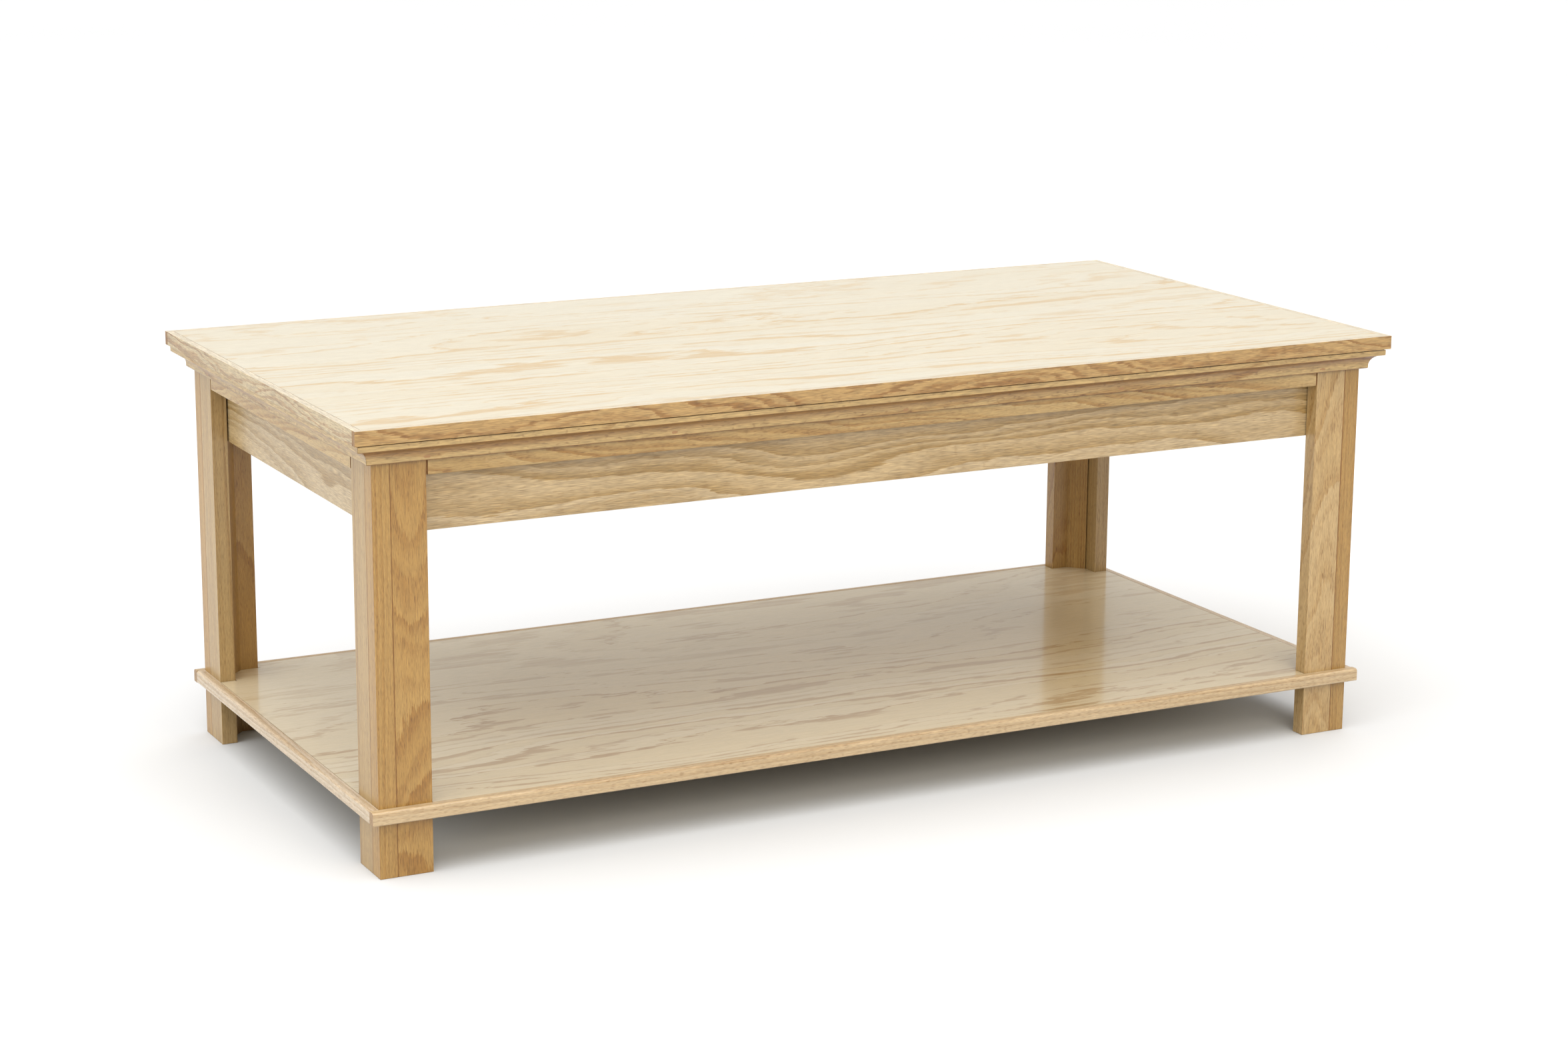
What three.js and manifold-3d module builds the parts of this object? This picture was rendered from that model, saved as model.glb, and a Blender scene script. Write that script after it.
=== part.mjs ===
// Lift top coffee table in oak, standing on four L-section legs.
//
// Frame: millimetres, +X to the right along the length, +Y to the back, +Z up.
// The origin is on the floor, under the middle of the table.
//
// The base is a shallow apron box with a plywood floor, held in four legs and trimmed with
// filler rails and a mitred cove moulding. A shelf panel is notched round the legs below it.
// The top is one edged panel. A parallelogram linkage at each end of the box carries it, so
// that it rises, comes forward and stays level.

import * as THREE from 'three';
import { mergeVertices } from 'three/addons/utils/BufferGeometryUtils.js';
import Module from 'manifold-3d';

// ------------------------------------------------------------------ driving dimensions

const TABLE_HEIGHT = 460;
const GLUE_GAP = 0.2; // clearance kept between two pieces that are glued face to face
const FIT_GAP = 0.3; // clearance kept between two pieces that are screwed or pinned

const TOP = { length: 1219.2, depth: 609.6, thickness: 15, edging: 8 };
const PARTING_GAP = 1.6; // dark line between the lifting top and the fixed base

const LEG = {
  overhang: 24.4, // from the edge of the top in to the outer face of a leg
  faceWidth: 56.5,
  post: 19, // side of the square corner post
  wing: 17.5, // thickness of the two boards beside the post
  block: 18.4, // leg of the triangular glue block inside the L
  blockClip: 6, // corner cut off the glue block to clear the post
  blockGap: 1.2, // open joint between the glue block and the end wing
};

const APRON = { recess: 19.3, thickness: 18, bottom: 345.5 };
const RAIL = { bottom: 405.5, endGap: 2, easing: 1.5 };
const MOULDING = {
  height: 21.8,
  projection: 20.2,
  fillet: 5, // flat band at the top
  noseRadius: 1,
  coveRadius: 12.3,
  beadRadius: 1.5,
};
const FLOOR = { thickness: 6, bottom: 352.2, tongue: 5.6, grooveClearance: 0.2 };
const SHELF = {
  top: 72.8,
  thickness: 14,
  edging: 9.6,
  edgeRadius: 3,
  lowerEdgeRadius: 1.5,
  notchGap: 0.7,
  kerf: 1.2, // width of the saw cuts that run past the corners of the notches
  overcut: 2.5,
};

// Lift linkage, drawn in the Y-Z plane of the right-hand end.
const LINK = {
  armLength: 230,
  restAngle: 5, // degrees above +Y when the table is closed
  travel: 115, // degrees from closed to fully forward
  frontPivot: { y: -85, z: 408 },
  rearPivot: { y: -25, z: 376 },
  armRadius: 12,
  crossBarReach: 130, // from the front pivot, along the front arm
  lugReach: 30,
  lugRadius: 7,
};
const SHEET = { plate: 3, arm: 4, spacing: 3 };
const BASE_PLATE = { front: -236, rear: 62, cornerRadius: 8, foot: 14 };
const TOP_PLATE = { front: 60, ledge: 36, rearMargin: 12, cornerRadius: 3 };
const PIN = { arm: 5, plate: 4, collar: 8, head: 9, headThickness: 2.4 };
const STUD = { radius: 3, reach: 12 };
const CROSS_BAR_RADIUS = 6;
const WOOD_SCREW_HOLE = 2.5;
const SPRING = {
  coil: 5.5, // radius to the middle of the wire
  wire: 0.9,
  eye: 4.4,
  eyeOpening: 0.35, // radians left open where an eye bends into the coil
  anchorY: -225,
  offset: 7.5, // from the inner face of the arms to the coil's axis
  turns: 16,
  stepsPerTurn: 8,
  eyeSteps: 10,
};

const CURVE_SEGMENTS = 6;
const OUTLINE_SEGMENTS = 24; // round a plate's corner circles
const TURNED_SEGMENTS = 16; // round pins, studs and the cross bar
const WIRE_SIDES = 6;

// ------------------------------------------------------------------ derived dimensions

const TOP_UNDERSIDE = TABLE_HEIGHT - TOP.thickness;
const BASE_TOP = TOP_UNDERSIDE - PARTING_GAP;
const LEG_X = TOP.length / 2 - LEG.overhang; // outer faces of the legs
const LEG_Y = TOP.depth / 2 - LEG.overhang;
const APRON_X = LEG_X - APRON.recess; // outer faces of the apron box
const APRON_Y = LEG_Y - APRON.recess;
const BOX_X = APRON_X - APRON.thickness; // inner faces of the apron box
const FLOOR_TOP = FLOOR.bottom + FLOOR.thickness;

const deg = THREE.MathUtils.degToRad;
const polar = (centre, radius, angle) => ({
  y: centre.y + radius * Math.cos(deg(angle)),
  z: centre.z + radius * Math.sin(deg(angle)),
});
const FRONT_UPPER = polar(LINK.frontPivot, LINK.armLength, LINK.restAngle);
const REAR_UPPER = polar(LINK.rearPivot, LINK.armLength, LINK.restAngle);

// The spring lug starts and ends its swing at the same height, so the spring stays level.
const LUG_ANGLE = 90 - LINK.travel / 2;
const LUG = polar(LINK.frontPivot, LINK.lugReach, LUG_ANGLE);
const STOP_ANGLE = LUG_ANGLE + LINK.travel
  + THREE.MathUtils.radToDeg((LINK.lugRadius + STUD.radius + 4 * FIT_GAP) / LINK.lugReach);
const STOP = polar(LINK.frontPivot, LINK.lugReach, STOP_ANGLE);
const ANCHOR = { y: SPRING.anchorY, z: LUG.z };
const BAR = polar(LINK.frontPivot, LINK.crossBarReach, LINK.restAngle);

// Layers of the right-hand linkage along X, from the end apron inwards.
const PLATE_OUT = BOX_X - FIT_GAP;
const PLATE_IN = PLATE_OUT - SHEET.plate;
const ARM_OUT = PLATE_IN - SHEET.spacing;
const ARM_IN = ARM_OUT - SHEET.arm;
const LEDGE_OUT = ARM_IN - SHEET.spacing;
const LEDGE_IN = LEDGE_OUT - SHEET.plate;
const SPRING_X = ARM_IN - SPRING.offset;

// ------------------------------------------------------------------ materials

const material = (color, roughness, metalness = 0) =>
  new THREE.MeshStandardMaterial({ color, roughness, metalness });

const OAK_VENEER = material(0xe9dcc0, 0.45);
const OAK_EDGING = material(0xc9a56c, 0.5);
const OAK_LEG = material(0xc49f66, 0.5);
const OAK_MOULDING = material(0xcdaa72, 0.5);
const OAK_SHELF = material(0xcdbfa4, 0.35);
const PLYWOOD = material(0xd9c49a, 0.65);
const BLACK_STEEL = material(0x1c1d1f, 0.45, 0.6);
const ZINC_STEEL = material(0xb4b7ba, 0.3, 0.95);

// ------------------------------------------------------------------ geometry helpers

const wasm = await Module();
wasm.setup();

/** Indexed copy with merged corners, no empty triangles and all faces pointing out. */
function closed(source) {
  const bare = source.clone();
  bare.deleteAttribute('normal');
  bare.deleteAttribute('uv');
  const geometry = mergeVertices(bare, 1e-4);
  const corners = geometry.index.array;
  const kept = [];
  for (let i = 0; i < corners.length; i += 3) {
    const [a, b, c] = corners.slice(i, i + 3);
    if (a !== b && b !== c && c !== a) kept.push(a, b, c);
  }
  geometry.setIndex(signedVolume(geometry, kept) < 0 ? kept.reverse() : kept);
  return geometry;
}

function signedVolume(geometry, index) {
  const corner = [new THREE.Vector3(), new THREE.Vector3(), new THREE.Vector3()];
  let sum = 0;
  for (let i = 0; i < index.length; i += 3) {
    corner.forEach((v, k) => v.fromBufferAttribute(geometry.attributes.position, index[i + k]));
    sum += corner[0].dot(corner[1].cross(corner[2])) / 6;
  }
  return sum;
}

function toSolid(source) {
  const geometry = closed(source);
  return new wasm.Manifold(new wasm.Mesh({
    numProp: 3,
    vertProperties: new Float32Array(geometry.attributes.position.array),
    triVerts: new Uint32Array(geometry.index.array),
  }));
}

function joined(...sources) {
  const solid = sources.map(toSolid).reduce((whole, piece) => whole.add(piece));
  const mesh = solid.getMesh();
  const geometry = new THREE.BufferGeometry();
  geometry.setAttribute('position', new THREE.BufferAttribute(mesh.vertProperties, 3));
  geometry.setIndex(new THREE.BufferAttribute(mesh.triVerts, 1));
  return geometry;
}

function addPiece(parent, name, geometry, pieceMaterial) {
  const solid = closed(geometry);
  solid.computeVertexNormals();
  const mesh = new THREE.Mesh(solid, pieceMaterial);
  mesh.name = name;
  parent.add(mesh);
  return mesh;
}

/** Block between two opposite corners given as [x, y, z]. */
function block(from, to) {
  const size = from.map((value, axis) => Math.abs(to[axis] - value));
  const centre = from.map((value, axis) => (to[axis] + value) / 2);
  return new THREE.BoxGeometry(...size).translate(...centre);
}

/** Shape drawn in the Y-Z plane, extruded along X between two places. */
function extrudeAlongX(shape, fromX, toX) {
  const low = Math.min(fromX, toX);
  const depth = Math.abs(toX - fromX);
  const geometry = new THREE.ExtrudeGeometry(shape, {
    depth, bevelEnabled: false, curveSegments: CURVE_SEGMENTS,
  });
  const basis = new THREE.Matrix4().makeBasis(
    new THREE.Vector3(0, 1, 0), new THREE.Vector3(0, 0, 1), new THREE.Vector3(1, 0, 0));
  return geometry.applyMatrix4(basis).translate(low, 0, 0);
}

/** Turned piece on an axis along X: sections are [radius, from x, to x], one after another. */
function turnedAlongX(centre, sections) {
  const profile = [new THREE.Vector2(0, sections[0][1])];
  for (const [radius, from, to] of sections) {
    profile.push(new THREE.Vector2(radius, from), new THREE.Vector2(radius, to));
  }
  profile.push(new THREE.Vector2(0, sections.at(-1)[2]));
  return new THREE.LatheGeometry(profile, TURNED_SEGMENTS)
    .rotateZ(-Math.PI / 2)
    .translate(0, centre.y, centre.z);
}

function circlePoints(y, z, radius, count) {
  return Array.from({ length: count }, (_, i) => {
    const angle = (2 * Math.PI * i) / count;
    return new THREE.Vector2(y + radius * Math.cos(angle), z + radius * Math.sin(angle));
  });
}

/** Tight outline round a set of circles { y, z, radius }, with round holes { y, z, radius }. */
function plateShape(circles, holes = []) {
  const points = circles.flatMap(({ y, z, radius }) => circlePoints(y, z, radius, OUTLINE_SEGMENTS));
  const shape = new THREE.Shape(convexOutline(points));
  for (const { y, z, radius } of holes) {
    shape.holes.push(new THREE.Path().absarc(y, z, radius, 0, 2 * Math.PI));
  }
  return shape;
}

function convexOutline(points) {
  const sorted = [...points].sort((p, q) => p.x - q.x || p.y - q.y);
  const half = (list) => {
    const chain = [];
    for (const point of list) {
      while (chain.length > 1 && turn(chain.at(-2), chain.at(-1), point) <= 1e-9) chain.pop();
      chain.push(point);
    }
    return chain.slice(0, -1);
  };
  return [...half(sorted), ...half(sorted.reverse())];
}

function turn(a, b, c) {
  return (b.x - a.x) * (c.y - a.y) - (b.y - a.y) * (c.x - a.x);
}

/** Board section: d is measured in from the outer face, with the two outer edges rounded. */
function boardSection(thickness, bottom, top, bottomRadius = 0, topRadius = 0) {
  const shape = new THREE.Shape();
  shape.moveTo(thickness, bottom);
  shape.lineTo(thickness, top);
  shape.lineTo(topRadius, top);
  if (topRadius) shape.absarc(topRadius, top - topRadius, topRadius, Math.PI / 2, Math.PI);
  shape.lineTo(0, bottom + bottomRadius);
  if (bottomRadius) {
    shape.absarc(bottomRadius, bottom + bottomRadius, bottomRadius, Math.PI, 1.5 * Math.PI);
  }
  return shape;
}

/**
 * Board along one side of the table. Side 0 is the front, 1 the right end, 2 the back and 3
 * the left end. A mitred board's ends are cut at 45 degrees through its outer corners.
 */
function sideBoard(section, side, halfLength, outerDistance, mitred = false) {
  const geometry = new THREE.ExtrudeGeometry(section, {
    depth: 1, bevelEnabled: false, curveSegments: CURVE_SEGMENTS,
  });
  const position = geometry.attributes.position;
  for (let i = 0; i < position.count; i += 1) {
    const inset = position.getX(i);
    const reach = mitred ? halfLength - inset : halfLength;
    const along = position.getZ(i) > 0.5 ? reach : -reach;
    position.setXYZ(i, along, inset - outerDistance, position.getY(i));
  }
  return geometry.rotateZ((side * Math.PI) / 2);
}

/**
 * Four boards round the table: the front and back ones have half length longHalf and stand
 * outerY from the middle, the two ends have half length shortHalf and stand outerX from it.
 */
function addSides(parent, name, pieceMaterial, section, fit) {
  ['front', 'right', 'back', 'left'].forEach((place, side) => {
    const isLong = side % 2 === 0;
    const half = isLong ? fit.longHalf : fit.shortHalf;
    const distance = isLong ? fit.outerY : fit.outerX;
    const board = sideBoard(section, side, half, distance, fit.mitred);
    addPiece(parent, `${name}_${place}`, board, pieceMaterial);
  });
}

/** A right-hand piece and its mirror image at the left-hand end. */
function addBothEnds(parent, name, geometry, pieceMaterial) {
  addPiece(parent, `${name}_right`, geometry, pieceMaterial);
  addPiece(parent, `${name}_left`, geometry.clone().scale(-1, 1, 1), pieceMaterial);
}

// ------------------------------------------------------------------ top

function addTop(parent) {
  const panelX = TOP.length / 2 - TOP.edging - GLUE_GAP;
  const panelY = TOP.depth / 2 - TOP.edging - GLUE_GAP;
  addPiece(parent, 'top_panel',
    block([-panelX, -panelY, TOP_UNDERSIDE], [panelX, panelY, TABLE_HEIGHT]), OAK_VENEER);
  addSides(parent, 'top_edging', OAK_EDGING,
    boardSection(TOP.edging, TOP_UNDERSIDE, TABLE_HEIGHT), {
      longHalf: TOP.length / 2,
      shortHalf: panelY,
      outerX: TOP.length / 2,
      outerY: TOP.depth / 2,
    });
}

// ------------------------------------------------------------------ legs

/** One L-section leg: a square post, a board beside it on each face and a glue block inside. */
function addLeg(parent, corner, sx, sy) {
  const spot = (inX, inY, z) => [sx * (LEG_X - inX), sy * (LEG_Y - inY), z];
  const wingStart = LEG.post + GLUE_GAP;
  addPiece(parent, `leg_post_${corner}`,
    block(spot(0, 0, 0), spot(LEG.post, LEG.post, BASE_TOP)), OAK_LEG);
  addPiece(parent, `leg_long_wing_${corner}`,
    block(spot(wingStart, 0, 0), spot(LEG.faceWidth, LEG.wing, BASE_TOP)), OAK_LEG);
  addPiece(parent, `leg_end_wing_${corner}`,
    block(spot(0, wingStart, 0), spot(LEG.wing, LEG.faceWidth, BASE_TOP)), OAK_LEG);
  addPiece(parent, `leg_glue_block_${corner}`, glueBlock(sx, sy), OAK_LEG);
}

/** Triangular prism across the inner faces of the two wings, its corner clipped at the post. */
function glueBlock(sx, sy) {
  const outline = [
    [LEG.block, GLUE_GAP],
    [LEG.blockGap, LEG.block],
    [LEG.blockGap, LEG.blockClip],
    [LEG.blockClip, GLUE_GAP],
  ];
  const shape = new THREE.Shape(outline.map(([inX, inY]) =>
    new THREE.Vector2(sx * (LEG_X - LEG.wing - inX), sy * (LEG_Y - LEG.wing - inY))));
  return new THREE.ExtrudeGeometry(shape, {
    depth: APRON.bottom - GLUE_GAP, bevelEnabled: false,
  });
}

function addLegs(parent) {
  for (const [depthName, sy] of [['front', -1], ['back', 1]]) {
    for (const [endName, sx] of [['left', -1], ['right', 1]]) {
      addLeg(parent, `${depthName}_${endName}`, sx, sy);
    }
  }
}

// ------------------------------------------------------------------ apron box and trim

/** Apron board with a groove for the box floor in its inner face. */
function apronSection() {
  const grooveFloor = APRON.thickness - FLOOR.tongue - FLOOR.grooveClearance;
  const grooveBottom = FLOOR.bottom - FLOOR.grooveClearance;
  const grooveTop = FLOOR_TOP + FLOOR.grooveClearance;
  return new THREE.Shape([
    [0, APRON.bottom],
    [APRON.thickness, APRON.bottom],
    [APRON.thickness, grooveBottom],
    [grooveFloor, grooveBottom],
    [grooveFloor, grooveTop],
    [APRON.thickness, grooveTop],
    [APRON.thickness, BASE_TOP],
    [0, BASE_TOP],
  ].map(([inset, z]) => new THREE.Vector2(inset, z)));
}

/** Cove moulding: a fillet with a round nose on top, a hollow below it and a small bead. */
function mouldingSection() {
  const { height, projection, fillet, noseRadius, coveRadius, beadRadius } = MOULDING;
  const bottom = BASE_TOP - height;
  const coveTop = BASE_TOP - fillet - noseRadius;
  const shape = new THREE.Shape();
  shape.moveTo(projection, bottom);
  shape.lineTo(projection, BASE_TOP);
  shape.lineTo(0, BASE_TOP);
  shape.lineTo(0, BASE_TOP - fillet);
  shape.absarc(noseRadius, BASE_TOP - fillet, noseRadius, Math.PI, 1.5 * Math.PI);
  shape.absarc(noseRadius, coveTop - coveRadius, coveRadius, Math.PI / 2, 0, true);
  shape.absarc(noseRadius + coveRadius + beadRadius, bottom + beadRadius, beadRadius,
    Math.PI, 1.5 * Math.PI);
  return shape;
}

function addBox(parent) {
  addSides(parent, 'apron', OAK_LEG, apronSection(), {
    longHalf: APRON_X,
    shortHalf: APRON_Y - APRON.thickness - GLUE_GAP,
    outerX: APRON_X,
    outerY: APRON_Y,
  });
  const floorX = BOX_X + FLOOR.tongue;
  const floorY = APRON_Y - APRON.thickness + FLOOR.tongue;
  addPiece(parent, 'compartment_floor',
    block([-floorX, -floorY, FLOOR.bottom], [floorX, floorY, FLOOR_TOP]), PLYWOOD);

  const railThickness = APRON.recess - GLUE_GAP;
  addSides(parent, 'filler_rail', OAK_LEG,
    boardSection(railThickness, RAIL.bottom, BASE_TOP, RAIL.easing), {
      longHalf: LEG_X - LEG.faceWidth - RAIL.endGap,
      shortHalf: LEG_Y - LEG.faceWidth - RAIL.endGap,
      outerX: LEG_X,
      outerY: LEG_Y,
    });

  const outerX = LEG_X + MOULDING.projection + GLUE_GAP;
  const outerY = LEG_Y + MOULDING.projection + GLUE_GAP;
  addSides(parent, 'cove_moulding', OAK_MOULDING, mouldingSection(), {
    longHalf: outerX - GLUE_GAP,
    shortHalf: outerY - GLUE_GAP,
    outerX,
    outerY,
    mitred: true,
  });
}

// ------------------------------------------------------------------ shelf

/**
 * Outline of the shelf panel, notched round the L section and glue block of each leg. The saw
 * cuts run a little past the two corners where a notch meets the end face of a wing.
 */
function shelfShape() {
  const inner = LEG.wing + SHELF.notchGap;
  const open = LEG.faceWidth + SHELF.notchGap;
  const diagonal = LEG.wing + LEG.block + SHELF.notchGap;
  const halfNotch = [
    [open, 0],
    [open, inner - SHELF.kerf],
    [open + SHELF.overcut, inner - SHELF.kerf],
    [open + SHELF.overcut, inner],
    [diagonal, inner],
  ];
  const notch = [...halfNotch, ...halfNotch.map(([inX, inY]) => [inY, inX]).reverse()];
  const edge = GLUE_GAP;
  const corners = [[1, 1], [-1, 1], [-1, -1], [1, -1]];
  const outline = corners.flatMap(([sx, sy]) => {
    const ordered = sx * sy > 0 ? [...notch].reverse() : notch;
    return ordered.map(([inX, inY]) =>
      new THREE.Vector2(sx * (LEG_X - Math.max(inX, edge)), sy * (LEG_Y - Math.max(inY, edge))));
  });
  return new THREE.Shape(outline);
}

function addShelf(parent) {
  const bottom = SHELF.top - SHELF.thickness;
  const panel = new THREE.ExtrudeGeometry(shelfShape(), { depth: SHELF.thickness, bevelEnabled: false });
  addPiece(parent, 'shelf_panel', panel.translate(0, 0, bottom), OAK_SHELF);
  const section = boardSection(
    SHELF.edging, bottom, SHELF.top, SHELF.lowerEdgeRadius, SHELF.edgeRadius);
  const outerX = LEG_X + SHELF.edging + GLUE_GAP;
  addSides(parent, 'shelf_edging', OAK_EDGING, section, {
    longHalf: outerX,
    shortHalf: LEG_Y,
    outerX,
    outerY: LEG_Y + SHELF.edging + GLUE_GAP,
  });
}

// ------------------------------------------------------------------ lift linkage

const hole = (centre, radius) => ({ ...centre, radius: radius + FIT_GAP });

/** Plate screwed to the end apron, with a folded foot, the spring post and the end stop. */
function basePlate() {
  const r = BASE_PLATE.cornerRadius;
  const bottom = FLOOR_TOP + FIT_GAP;
  const frontTop = { y: BASE_PLATE.front + r, z: ANCHOR.z, radius: r };
  const outline = [
    frontTop,
    { y: BASE_PLATE.front + r, z: bottom + r, radius: r },
    { y: BASE_PLATE.rear - r, z: bottom + r, radius: r },
    { ...LINK.frontPivot, radius: 2 * r },
    { ...LINK.rearPivot, radius: 2 * r },
  ];
  const screwRows = [BASE_PLATE.front + 2 * r, BASE_PLATE.rear - 2 * r];
  const holes = [
    hole(LINK.frontPivot, PIN.plate),
    hole(LINK.rearPivot, PIN.plate),
    ...screwRows.map((y) => ({ y, z: bottom + 2 * r, radius: WOOD_SCREW_HOLE })),
  ];
  const plate = extrudeAlongX(plateShape(outline, holes), PLATE_IN, PLATE_OUT);
  const foot = block(
    [PLATE_OUT, BASE_PLATE.front + 2 * r, bottom],
    [PLATE_IN - BASE_PLATE.foot, BASE_PLATE.rear - 2 * r, bottom + SHEET.plate]);
  const post = turnedAlongX(ANCHOR, [[STUD.radius, ARM_IN - STUD.reach, PLATE_IN + 1]]);
  const stop = turnedAlongX(STOP, [[STUD.radius, ARM_IN, PLATE_IN + 1]]);
  return joined(plate, foot, post, stop);
}

/** Flat arm with a lug and stud for the spring above its lower pivot. */
function frontArm() {
  const { armRadius, frontPivot, lugRadius } = LINK;
  const outline = [
    { ...frontPivot, radius: armRadius },
    { ...FRONT_UPPER, radius: armRadius },
    { ...LUG, radius: lugRadius },
  ];
  const holes = [hole(frontPivot, PIN.arm), hole(FRONT_UPPER, PIN.arm), hole(BAR, PIN.plate)];
  const arm = extrudeAlongX(plateShape(outline, holes), ARM_IN, ARM_OUT);
  const stud = turnedAlongX(LUG, [[STUD.radius, ARM_IN - STUD.reach, ARM_IN + 1]]);
  return joined(arm, stud);
}

function rearArm() {
  const outline = [LINK.rearPivot, REAR_UPPER].map((end) => ({ ...end, radius: LINK.armRadius }));
  const holes = [hole(LINK.rearPivot, PIN.arm), hole(REAR_UPPER, PIN.arm)];
  return extrudeAlongX(plateShape(outline, holes), ARM_IN, ARM_OUT);
}

/** Angle screwed under the top: a hanging flange for the two upper pivots and a flat ledge. */
function topPlate() {
  const high = TOP_UNDERSIDE - FIT_GAP;
  const r = TOP_PLATE.cornerRadius;
  const rear = REAR_UPPER.y + TOP_PLATE.rearMargin;
  const outline = [
    { ...FRONT_UPPER, radius: LINK.armRadius },
    { ...REAR_UPPER, radius: LINK.armRadius },
    { y: FRONT_UPPER.y - 2 * LINK.armRadius, z: high - r, radius: r },
    { y: rear - r, z: high - r, radius: r },
  ];
  const holes = [hole(FRONT_UPPER, PIN.plate), hole(REAR_UPPER, PIN.plate)];
  const flange = extrudeAlongX(plateShape(outline, holes), LEDGE_IN, LEDGE_OUT);
  const ledge = block(
    [LEDGE_OUT, TOP_PLATE.front, high - SHEET.plate], [LEDGE_OUT - TOP_PLATE.ledge, rear, high]);
  return joined(flange, ledge);
}

/** Rivet that joins an arm to the base plate, its head towards the middle of the table. */
function lowerPin(centre) {
  return turnedAlongX(centre, [
    [PIN.head, ARM_IN - FIT_GAP - PIN.headThickness, ARM_IN - FIT_GAP],
    [PIN.arm, ARM_IN - FIT_GAP, ARM_OUT + FIT_GAP],
    [PIN.collar, ARM_OUT + FIT_GAP, PLATE_IN - FIT_GAP],
    [PIN.plate, PLATE_IN - FIT_GAP, PLATE_OUT],
  ]);
}

/** Rivet that joins an arm to the top plate, with a thin head on each side. */
function upperPin(centre) {
  return turnedAlongX(centre, [
    [PIN.collar, LEDGE_IN - FIT_GAP - PIN.headThickness, LEDGE_IN - FIT_GAP],
    [PIN.plate, LEDGE_IN - FIT_GAP, LEDGE_OUT + FIT_GAP],
    [PIN.collar, LEDGE_OUT + FIT_GAP, ARM_IN - FIT_GAP],
    [PIN.arm, ARM_IN - FIT_GAP, ARM_OUT + FIT_GAP],
    [PIN.collar, ARM_OUT + FIT_GAP, ARM_OUT + PIN.headThickness],
  ]);
}

/** Steel rod between the two front arms, with a spigot through each. */
function crossBar() {
  const shoulder = ARM_IN - FIT_GAP;
  return turnedAlongX(BAR, [
    [PIN.plate, -ARM_OUT, -shoulder],
    [CROSS_BAR_RADIUS, -shoulder, shoulder],
    [PIN.plate, shoulder, ARM_OUT],
  ]);
}

/** Extension spring: an eye round the post, a coil along Y, and an eye round the arm's stud. */
function spring() {
  const lead = 2 * SPRING.eye; // from the middle of an eye to the first turn of the coil
  const start = ANCHOR.y + lead;
  const length = LUG.y - lead - start;
  const coilSteps = SPRING.turns * SPRING.stepsPerTurn;
  const coil = Array.from({ length: coilSteps + 1 }, (_, i) => {
    const angle = (2 * Math.PI * i) / SPRING.stepsPerTurn;
    return new THREE.Vector3(SPRING_X + SPRING.coil * Math.sin(angle),
      start + (length * i) / coilSteps, ANCHOR.z + SPRING.coil * Math.cos(angle));
  });
  const path = new THREE.CatmullRomCurve3([
    ...springEye(ANCHOR, -SPRING.eyeOpening, SPRING.eyeOpening - 2 * Math.PI),
    ...coil,
    ...springEye(LUG, Math.PI - SPRING.eyeOpening, SPRING.eyeOpening - Math.PI),
  ]);
  const section = new THREE.Shape(circlePoints(0, 0, SPRING.wire, WIRE_SIDES));
  return new THREE.ExtrudeGeometry(section, {
    steps: coilSteps + 4 * SPRING.eyeSteps, extrudePath: path,
  });
}

/** Points round an open eye in the Y-Z plane, between two angles. */
function springEye(centre, from, to) {
  return Array.from({ length: SPRING.eyeSteps }, (_, i) => {
    const angle = from + ((to - from) * i) / (SPRING.eyeSteps - 1);
    return new THREE.Vector3(SPRING_X,
      centre.y + SPRING.eye * Math.cos(angle), centre.z + SPRING.eye * Math.sin(angle));
  });
}

function addLinkage(parent) {
  addBothEnds(parent, 'lift_base_plate', basePlate(), BLACK_STEEL);
  addBothEnds(parent, 'lift_front_arm', frontArm(), BLACK_STEEL);
  addBothEnds(parent, 'lift_rear_arm', rearArm(), BLACK_STEEL);
  addBothEnds(parent, 'lift_top_plate', topPlate(), BLACK_STEEL);
  addBothEnds(parent, 'pin_front_lower', lowerPin(LINK.frontPivot), ZINC_STEEL);
  addBothEnds(parent, 'pin_rear_lower', lowerPin(LINK.rearPivot), ZINC_STEEL);
  addBothEnds(parent, 'pin_front_upper', upperPin(FRONT_UPPER), ZINC_STEEL);
  addBothEnds(parent, 'pin_rear_upper', upperPin(REAR_UPPER), ZINC_STEEL);
  addBothEnds(parent, 'lift_spring', spring(), ZINC_STEEL);
  addPiece(parent, 'lift_cross_bar', crossBar(), BLACK_STEEL);
}

// ------------------------------------------------------------------ assembly

const table = new THREE.Group();
addTop(table);
addLegs(table);
addBox(table);
addShelf(table);
addLinkage(table);

export default table;
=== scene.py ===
"""Looks of a lift top coffee table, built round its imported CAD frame. Metres, +Z up."""
import math
import random

import bmesh
import bpy
from mathutils import Matrix, Quaternion, Vector


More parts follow.
